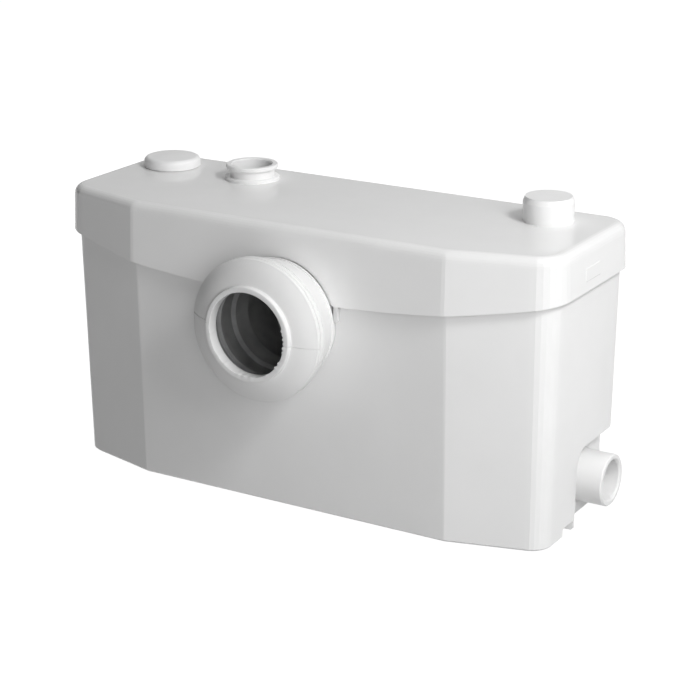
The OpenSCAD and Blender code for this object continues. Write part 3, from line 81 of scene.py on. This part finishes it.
# Lamps: name, direction from the body, distance, size, power, whether glossy faces mirror it
LAMPS = (
    ("key", (0.82, -0.43, 0.375), 1.6, 0.5, 4.2, False),
    ("high", (0.68, -0.195, 0.707), 2.0, 0.4, 10.0, True),
    ("middle", (0.7, -0.312, 0.643), 2.0, 0.45, 8.0, True),
    ("right", (0.791, -0.352, 0.5), 1.6, 1.0, 1.6, True),
    ("top", (0.3, 0.2, 1.0), 1.6, 1.4, 3.6, True),
    ("front_low", (0.5, -0.85, 0.02), 1.2, 0.8, 2.1, False),
    ("front", (0.487, -0.81, 0.326), 1.7, 0.6, 2.3, False),
    ("rear", (-0.75, 0.62, 0.2), 1.9, 1.2, 8.0, False),
)
LAMP_TARGET = (0.0, 0.03, 0.14)

# Floor, in metres: its corners, and how far it lies below the part
FLOOR_CORNERS = ((-14.0, -14.0, 0.0), (14.0, -14.0, 0.0), (14.0, 14.0, 0.0), (-14.0, 14.0, 0.0))
FLOOR_DROP = 0.0004


def make_camera():
    """Camera at the photograph's place."""
    data = bpy.data.cameras.new("camera")
    data.sensor_width = CAMERA_SENSOR
    data.lens = CAMERA_LENS
    data.clip_end = CAMERA_FAR
    cam = bpy.data.objects.new("camera", data)
    yaw = Matrix.Rotation(math.radians(CAMERA_YAW), 4, "Z")
    pitch = Matrix.Rotation(math.pi / 2 + math.radians(CAMERA_PITCH), 4, "X")
    roll = Matrix.Rotation(math.radians(CAMERA_ROLL), 4, "Z")
    cam.matrix_world = Matrix.Translation(CAMERA_PLACE) @ (yaw @ pitch) @ roll
    bpy.context.scene.collection.objects.link(cam)
    bpy.context.scene.camera = cam


def area_light(name, direction, distance, size, power, mirrored):
    """Round soft box that looks at the middle of the body."""
    data = bpy.data.lights.new(name, "AREA")
    data.shape = "DISK"
    data.size = size
    data.energy = power
    lamp = bpy.data.objects.new(name, data)
    way = Vector(direction).normalized()
    lamp.location = Vector(LAMP_TARGET) + way * distance
    lamp.visible_glossy = mirrored
    lamp.rotation_mode = "QUATERNION"
    lamp.rotation_quaternion = (-way).to_track_quat("-Z", "Y")
    bpy.context.scene.collection.objects.link(lamp)


def room_light(tree, coords, direction, start, strength):
    """Output that grows from nothing to a strength towards one side of the room."""
    facing = tree.nodes.new("ShaderNodeVectorMath")
    facing.operation = "DOT_PRODUCT"
    facing.inputs[1].default_value = Vector(direction).normalized()
    span = tree.nodes.new("ShaderNodeMapRange")
    set_inputs(span, {"From Min": start, "From Max": 1.0, "To Min": 0.0, "To Max": strength})
    tree.links.new(coords.outputs["Generated"], facing.inputs[0])
    tree.links.new(facing.outputs["Value"], span.inputs["Value"])
    return span.outputs["Result"]


def make_world():
    """White to the camera; to the part, soft light that grows towards some sides of the room."""
    world = bpy.data.worlds.new("studio")
    world.use_nodes = True
    tree = world.node_tree
    tree.nodes.clear()
    out = tree.nodes.new("ShaderNodeOutputWorld")
    mix = tree.nodes.new("ShaderNodeMixShader")
    seen = tree.nodes.new("ShaderNodeBackground")
    sky = tree.nodes.new("ShaderNodeBackground")
    for background in (seen, sky):
        background.inputs["Color"].default_value = WHITE
    coords = tree.nodes.new("ShaderNodeTexCoord")
    total, *others = [room_light(tree, coords, *row) for row in ROOM]
    for light in others:
        added = tree.nodes.new("ShaderNodeMath")
        tree.links.new(total, added.inputs[0])
        tree.links.new(light, added.inputs[1])
        total = added.outputs["Value"]
    path = tree.nodes.new("ShaderNodeLightPath")
    tree.links.new(total, sky.inputs["Strength"])
    tree.links.new(path.outputs["Is Camera Ray"], mix.inputs["Fac"])
    tree.links.new(sky.outputs["Background"], mix.inputs[1])
    tree.links.new(seen.outputs["Background"], mix.inputs[2])
    tree.links.new(mix.outputs["Shader"], out.inputs["Surface"])
    bpy.context.scene.world = world


def make_floor():
    """White floor just below the part."""
    mesh = bpy.data.meshes.new("floor")
    mesh.from_pydata(FLOOR_CORNERS, [], [range(len(FLOOR_CORNERS))])
    floor = bpy.data.objects.new("floor", mesh)
    floor.location.z = -FLOOR_DROP
    bpy.context.scene.collection.objects.link(floor)
    mat = bpy.data.materials.new("floor")
    mat.use_nodes = True
    set_inputs(mat.node_tree.nodes["Principled BSDF"], {
        "Base Color": (0.1, 0.1, 0.1, 1.0), "Roughness": 0.9, "Specular IOR Level": 0.1,
        "Emission Color": WHITE, "Emission Strength": 1.0})
    mesh.materials.append(mat)
    floor.visible_diffuse = False


# Materials

# How noise is scaled along x, y and z
EVEN = (1.0, 1.0, 1.0)
BRUSHED = (1.0, 1.0, 0.05)
STRANDS = (1.0, 1.0, 4.0)
STRAND_RELIEF = (0.6, 0.6, 2.5)

# Span in which most values of the noise lie, and its detail where colour or roughness drifts
NOISE_LOW = 0.3
NOISE_HIGH = 0.7
DRIFT_DETAIL = 3.0

# mottle and uneven: how far colour and roughness drift, scale of the noise.
# grains: scale of the noise, depth in metres, detail.
LOOKS = {
    "shell_white": dict(
        color=(0.86, 0.86, 0.858), rough=0.34, mottle=(0.012, 18.0), uneven=(0.05, 60.0),
        grains=((9.0, 0.0012, 1.0), (2600.0, 0.000012, 3.0))),
    "lid_white": dict(
        color=(0.86, 0.86, 0.858), rough=0.14, mottle=(0.01, 18.0), uneven=(0.03, 60.0),
        grains=((7.0, 0.0003, 1.0), (2600.0, 0.000006, 3.0))),
    "soft_white": dict(
        color=(0.8, 0.8, 0.798), rough=0.46, specular=0.45, mottle=(0.015, 40.0),
        uneven=(0.06, 90.0), grains=((1800.0, 0.00002, 3.0),)),
    "cap_white": dict(
        color=(0.89, 0.89, 0.888), rough=0.4, mottle=(0.012, 50.0), uneven=(0.05, 90.0),
        grains=((2200.0, 0.000015, 3.0),)),
    "dark_plastic": dict(
        color=(0.23, 0.231, 0.233), rough=0.42, mottle=(0.2, 60.0), uneven=(0.08, 90.0),
        grains=((1500.0, 0.00003, 3.0),)),
    # Grinder basket: a grey lighter than its plastic, painted light that stands in for light
    # reaching the deep inside of the inlet
    "basket_painted_light_grey": dict(
        color=(0.5, 0.5, 0.5), rough=0.42, mottle=(0.05, 60.0), uneven=(0.08, 90.0),
        grains=((1500.0, 0.00003, 3.0),)),
    "dark_rubber": dict(
        color=(0.018, 0.018, 0.019), rough=0.62, specular=0.35, mottle=(0.25, 80.0),
        uneven=(0.1, 120.0), grains=((1400.0, 0.00005, 4.0),)),
    "grey_plastic": dict(
        color=(0.27, 0.28, 0.295), rough=0.42, mottle=(0.05, 40.0), uneven=(0.06, 70.0),
        grains=((1800.0, 0.00002, 3.0),)),
    "steel": dict(
        color=(0.58, 0.585, 0.6), rough=0.3, metallic=1.0, mottle=(0.08, 400.0, BRUSHED),
        uneven=(0.1, 700.0, BRUSHED), grains=((1600.0, 0.00001, 3.0, BRUSHED),)),
    "cast_metal": dict(
        color=(0.5, 0.505, 0.52), rough=0.46, metallic=1.0, mottle=(0.1, 60.0),
        uneven=(0.1, 200.0), grains=((900.0, 0.00006, 4.0),)),
    "winding": dict(
        color=(0.5, 0.2, 0.075), rough=0.3, metallic=1.0, mottle=(0.2, 300.0, STRANDS),
        uneven=(0.08, 300.0), grains=((900.0, 0.0003, 2.0, STRAND_RELIEF),)),
    "charcoal": dict(
        color=(0.012, 0.012, 0.012), rough=0.9, specular=0.2, mottle=(0.4, 900.0),
        grains=((900.0, 0.0006, 4.0),)),
}

# Nodes with a look of their own in place of their slot's; the grinder basket's lighter grey is
# painted light, standing in for light that reaches the deep inside of the inlet
OWN_LOOKS = {"lid": "lid_white", "top_sleeve": "cap_white", "grinder_basket": "basket_painted_light_grey"}


class Surface:
    """A Principled material whose colour, roughness and bump come from noise in object space."""

    def __init__(self, name, color, rough, mottle, grains, uneven=None, specular=0.5,
                 metallic=0.0):
        self.mat = bpy.data.materials.new(name)
        self.mat.use_nodes = True
        self.tree = self.mat.node_tree
        self.shader = self.tree.nodes["Principled BSDF"]
        set_inputs(self.shader, {
            "Base Color": (*color, 1.0), "Roughness": rough, "Specular IOR Level": specular,
            "Metallic": metallic})
        self.coords = self.tree.nodes.new("ShaderNodeTexCoord")
        self.color, self.rough, self.normal = color, rough, None
        self.add_mottle(*mottle)
        if uneven:
            self.add_uneven(*uneven)
        for grain in grains:
            self.add_grain(*grain)

    def node(self, kind, **values):
        made = self.tree.nodes.new(kind)
        set_inputs(made, values)
        return made

    def noise(self, scale, detail, stretch):
        mapping = self.node("ShaderNodeMapping", Scale=stretch)
        made = self.node("ShaderNodeTexNoise", Scale=scale, Detail=detail)
        self.tree.links.new(self.coords.outputs["Object"], mapping.inputs["Vector"])
        self.tree.links.new(mapping.outputs["Vector"], made.inputs["Vector"])
        return made.outputs["Fac"]

    def add_mottle(self, spread, scale, stretch=EVEN):
        """Colour that drifts by a share of itself, up and down."""
        ramp = self.node("ShaderNodeValToRGB")
        low, high = ramp.color_ramp.elements
        low.position, high.position = NOISE_LOW, NOISE_HIGH
        low.color = (*[c * (1 - spread) for c in self.color], 1.0)
        high.color = (*[min(1.0, c * (1 + spread)) for c in self.color], 1.0)
        self.tree.links.new(self.noise(scale, DRIFT_DETAIL, stretch), ramp.inputs["Fac"])
        self.tree.links.new(ramp.outputs["Color"], self.shader.inputs["Base Color"])

    def add_uneven(self, spread, scale, stretch=EVEN):
        """Roughness that drifts round its middle value."""
        span = self.node("ShaderNodeMapRange")
        set_inputs(span, {
            "From Min": NOISE_LOW, "From Max": NOISE_HIGH,
            "To Min": self.rough - spread, "To Max": self.rough + spread})
        self.tree.links.new(self.noise(scale, DRIFT_DETAIL, stretch), span.inputs["Value"])
        self.tree.links.new(span.outputs["Result"], self.shader.inputs["Roughness"])

    def add_grain(self, scale, depth, detail, stretch=EVEN):
        """Relief of a depth in metres, on top of what is there."""
        bump = self.node("ShaderNodeBump", Strength=1.0, Distance=depth)
        self.tree.links.new(self.noise(scale, detail, stretch), bump.inputs["Height"])
        if self.normal is not None:
            self.tree.links.new(self.normal, bump.inputs["Normal"])
        self.normal = bump.outputs["Normal"]
        self.tree.links.new(self.normal, self.shader.inputs["Normal"])


def dress_nodes(materials):
    """Gives each CAD node its slot's material, or for some of them a look of their own."""
    slots = {row["node"]: row["material_slot"] for row in frame["record"]["subparts"]}
    for name, obj in NODES.items():
        obj.data.materials.clear()
        obj.data.materials.append(materials[OWN_LOOKS.get(name, slots[name])])


# Pieces

# Corners of an outline: steps on each round, and the most of a side that a round may take
ROUND_STEPS = 3
ROUND_SHARE = 0.45


def new_piece(name, verts, faces, crease, material, body):
    """Piece with its faces turned outward, smooth up to a crease angle in degrees."""
    mesh = bpy.data.meshes.new(name)
    mesh.from_pydata(verts, [], faces)
    work = bmesh.new()
    work.from_mesh(mesh)
    bmesh.ops.recalc_face_normals(work, faces=work.faces)
    work.to_mesh(mesh)
    work.free()
    mesh.shade_smooth()
    mesh.set_sharp_from_angle(angle=math.radians(crease))
    mesh.materials.append(material)
    piece = bpy.data.objects.new(name, mesh)
    bpy.context.scene.collection.objects.link(piece)
    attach(piece, body)
    return piece


def ring_faces(rings, count, closed):
    """Faces between rings of count points each; closed joins the last ring to the first."""
    faces = []
    for a in range(rings if closed else rings - 1):
        b = (a + 1) % rings
        for i in range(count):
            j = (i + 1) % count
            faces.append((a * count + i, a * count + j, b * count + j, b * count + i))
    return faces


def rounded(points):
    """Closed outline whose corners, each given with its own radius, are rounded off."""
    out = []
    for i, (x, y, radius) in enumerate(points):
        here = Vector((x, y))
        if radius == 0.0:
            out.append(here)
            continue
        back = Vector(points[i - 1][:2]) - here
        on = Vector(points[(i + 1) % len(points)][:2]) - here
        most = min(ROUND_SHARE * back.length, ROUND_SHARE * on.length)
        reach = min(radius / math.tan(back.angle(on) / 2), most)
        start, end = here + back.normalized() * reach, here + on.normalized() * reach
        for k in range(ROUND_STEPS + 1):
            t = k / ROUND_STEPS
            out.append(start * (1 - t) ** 2 + here * 2 * t * (1 - t) + end * t ** 2)
    return out


# Toilet sleeve

# Section, in millimetres: radii end in _R, the rest are distances from the tank's front
REACH = 64.0          # front of the lip
TAIL_R = 52.3         # bore on the collar
TAIL_OUT_R = 55.6     # bead at the rear end
TAIL = 11.0
TAIL_END = 13.0
NECK_R = 54.4         # in front of the bead
BAND_R = 63.0         # band with the grooves
RIM = 47.8            # front end of the band
FACE_R = 43.7         # inner edge of the bulging face
LIP_R = 37.7
LIP_OUT_R = 42.5
LIP_BACK = 53.3
INSIDE_R = 41.0       # behind the lip
CHAMBER_R = 59.0      # inner side of the band
CHAMBER_BACK = 40.7
BORE_FRONT = 34.0     # front end of the bore on the collar

# Face: how far it starts behind the lip's front and falls to the band, shares of the fall
# that are even and that grow, thickness of its wall, points on its two sides
FACE_BACK = 4.2
FACE_FALL = 9.3
FACE_EVEN = 0.43
FACE_GROWING = 0.57
WALL = 4.0
FACE_STEP = 0.7
FACE_POINTS = 25
INSIDE_FACE_RADII = (43.0, 47.0, 51.0, 55.0)

# Quarter ellipse from the band to the face: half axes, points and degrees between them
RIM_OUT = 0.9
RIM_ALONG = 2.7
RIM_POINTS = 16
RIM_STEP = 6

# Grooves on the band: their middles; their corners from there, each as radius, distance
# and rounding
GROOVES = (40.6, 45.9)
GROOVE_CORNERS = ((0.4, -0.9, 0.3), (-0.9, -0.5, 0.2), (-0.9, 0.5, 0.2), (0.7, 0.9, 0.3))

# Degrees between the rings of points round the axis, and the crease angle
SLEEVE_STEP = 1.5
SLEEVE_CREASE = 40.0

# Mould's parting line, a slit on the face: angles, half widths at its top and floor in
# degrees, depth in millimetres
SEAM_ANGLES = (-5.25, 173.25)
SEAM_TOP = 0.24
SEAM_FLOOR = 0.2
SEAM_DEPTH = 0.7

# Part of the section that has the slit: outside a radius and in front of a distance, but not
# on the inner side, which lies within a radius and behind a line that falls from INSIDE_R on
SEAM_FROM_R = 38.5
SEAM_FROM = 46.0
INNER_SIDE_R = 59.5
INNER_SIDE = 56.8
INNER_SIDE_FALL = 0.33

# Ragged flash on the lip's edge: angle and half width in degrees, height in millimetres
FLASH = (
    (15.0, 2.5, 1.3), (10.0, 3.0, 0.9), (4.0, 2.2, 1.2), (-2.0, 2.0, 0.8), (-8.0, 3.0, 1.1),
    (-14.0, 2.0, 0.8), (-31.0, 2.2, 1.0), (-39.0, 2.0, 1.1), (-58.0, 2.6, 0.5),
    (-84.0, 2.6, 0.8), (-95.0, 2.4, 1.0), (-104.0, 3.0, 0.7), (-128.0, 2.2, 0.9),
    (-142.0, 2.8, 0.6), (-173.0, 2.0, 1.0),
)

# Power of its flanks, share of its height that points forward, and the edge that has it:
# within a radius and in front of a distance
FLASH_POWER = 1.5
FLASH_FORWARD = 0.5
FLASH_TO_R = 38.2
FLASH_FROM = 63.2


def face_at(r):
    """Distance of the sleeve's bulging face at a radius."""
    u = (r - FACE_R) / (BAND_R - FACE_R)
    return REACH - FACE_BACK - FACE_FALL * u * (FACE_EVEN + FACE_GROWING * u)


def sleeve_outline():
    """Section of the sleeve, from corners given as radius, distance and rounding."""
    points = [(TAIL_R, TAIL, 0.3), (TAIL_OUT_R, TAIL, 0.6),
              (TAIL_OUT_R, TAIL_END, 0.5), (NECK_R, TAIL_END, 0.5)]
    points += [(BAND_R + r, middle + f, rounding)
               for middle in GROOVES for r, f, rounding in GROOVE_CORNERS]
    for k in range(RIM_POINTS):
        t = math.radians(RIM_STEP * k)
        points.append((BAND_R + RIM_OUT * math.cos(t), RIM + RIM_ALONG * math.sin(t), 0.0))
    for k in range(1, FACE_POINTS + 1):
        r = BAND_R - FACE_STEP * k
        points.append((r, face_at(r), 0.0))
    points += [(LIP_OUT_R, face_at(FACE_R), 1.3), (LIP_OUT_R, REACH, 1.3), (LIP_R, REACH, 0.35),
               (LIP_R, LIP_BACK, 0.6), (INSIDE_R, LIP_BACK, 0.3),
               (INSIDE_R, face_at(INSIDE_R) - WALL, 0.5)]
    points += [(r, face_at(r) - WALL, 0.0) for r in INSIDE_FACE_RADII]
    points += [(CHAMBER_R, face_at(CHAMBER_R) - WALL, 0.8), (CHAMBER_R, CHAMBER_BACK, 0.5),
               (TAIL_R, BORE_FRONT, 0.5)]
    return rounded(points)


def has_seam(r, f):
    """True on the outer side of the section, from the front groove to the lip."""
    if r <= SEAM_FROM_R or f <= SEAM_FROM:
        return False
    inner_side = INNER_SIDE - INNER_SIDE_FALL * max(0.0, r - INSIDE_R)
    return r >= INNER_SIDE_R or f >= inner_side


def flash_height(angle):
    """Height of the flash at an angle round the lip, in millimetres."""
    height = 0.0
    for middle, half, top in FLASH:
        share = abs(angle - middle) / half
        if share < 1:
            height = max(height, top * (1 - share ** FLASH_POWER))
    return height


def make_sleeve(material):
    """Soft sleeve with grooves on its band, the mould's parting line and flash on the lip."""
    outline = sleeve_outline()
    count = len(outline)
    low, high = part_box("wc_sleeve")
    axis_z = (low[2] + high[2]) / 2
    seams = {middle + side * half: depth for middle in SEAM_ANGLES for side in (-1, 1)
             for half, depth in ((SEAM_TOP, 0.0), (SEAM_FLOOR, SEAM_DEPTH))}
    even = (-180 + SLEEVE_STEP * k for k in range(round(360 / SLEEVE_STEP)))
    angles = sorted({*seams, *even})
    verts = []
    for angle in angles:
        turn = math.radians(angle)
        seam = seams.get(angle, 0.0)
        flash = flash_height(angle)
        for i, (r, f) in enumerate(outline):
            along = (outline[(i + 1) % count] - outline[i - 1]).normalized()
            if has_seam(r, f):
                r, f = r - seam * along.y, f + seam * along.x
            if r < FLASH_TO_R and f > FLASH_FROM:
                r, f = r - flash, f + FLASH_FORWARD * flash
            verts.append((r * MM * math.cos(turn), low[1] + (REACH - f) * MM,
                          axis_z + r * MM * math.sin(turn)))
    faces = ring_faces(len(angles), count, closed=True)
    piece = new_piece(
        "toilet_sleeve", verts, faces, SLEEVE_CREASE, material, "unit")
    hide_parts("wc_sleeve")


# Rectangle on the lid

# Middle, half sides and radius of the corners, in metres
PLATE_Y = 0.029
PLATE_Z = 0.237
PLATE_HALF_Y = 0.0147
PLATE_HALF_Z = 0.006
PLATE_CORNER = 0.001

# Its corners: sides in y and z, angle in degrees where the round starts; steps on each round
PLATE_CORNERS = ((1, 1, 0), (-1, 1, 90), (-1, -1, 180), (1, -1, 270))
PLATE_CORNER_STEPS = 4

# Its rings of points from the root to the top, each as inset and height in metres; shares of
# the inset that shrink the corners' radius and that move them in; crease angle in degrees
PLATE_RINGS = ((0.0, -0.0006), (0.0, 0.0001), (0.0007, 0.0005), (0.0012, 0.0005))
INSET_SHRINK = 0.6
INSET_MOVE = 0.4
PLATE_CREASE = 25.0

# Lid's skirt: how far it leans in for its height, radius of its lower edge's arc in metres
SKIRT_LEAN = 0.04
SKIRT_ARC_R = 1.33


def make_side_plate(material):
    """Bare raised rectangle moulded on the right side of the lid's skirt."""
    low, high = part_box("lid")
    edge_z = low[2] + high[0] ** 2 / (2 * SKIRT_ARC_R)
    face_x = high[0] - SKIRT_LEAN * (PLATE_Z - edge_z)
    verts = []
    for inset, out in PLATE_RINGS:
        radius, move = PLATE_CORNER - inset * INSET_SHRINK, inset * INSET_MOVE
        for side_y, side_z, start in PLATE_CORNERS:
            for k in range(PLATE_CORNER_STEPS + 1):
                t = math.radians(start + 90 / PLATE_CORNER_STEPS * k)
                y = side_y * (PLATE_HALF_Y - PLATE_CORNER) + radius * math.cos(t) - side_y * move
                z = side_z * (PLATE_HALF_Z - PLATE_CORNER) + radius * math.sin(t) - side_z * move
                verts.append((face_x + out - SKIRT_LEAN * z, PLATE_Y + y, PLATE_Z + z))
    count = len(verts) // len(PLATE_RINGS)
    faces = ring_faces(len(PLATE_RINGS), count, closed=False)
    faces += [tuple(range(count)), tuple(range(len(verts) - count, len(verts)))]
    new_piece("side_plate", verts, faces, PLATE_CREASE, material, "lid")


make_camera()
make_world()
make_floor()
for lamp_row in LAMPS:
    area_light(*lamp_row)
MATERIALS = {name: Surface(name, **look).mat for name, look in LOOKS.items()}
dress_nodes(MATERIALS)
make_sleeve(MATERIALS["soft_white"])
make_side_plate(MATERIALS["lid_white"])
bpy.context.scene.view_settings.view_transform = "Standard"
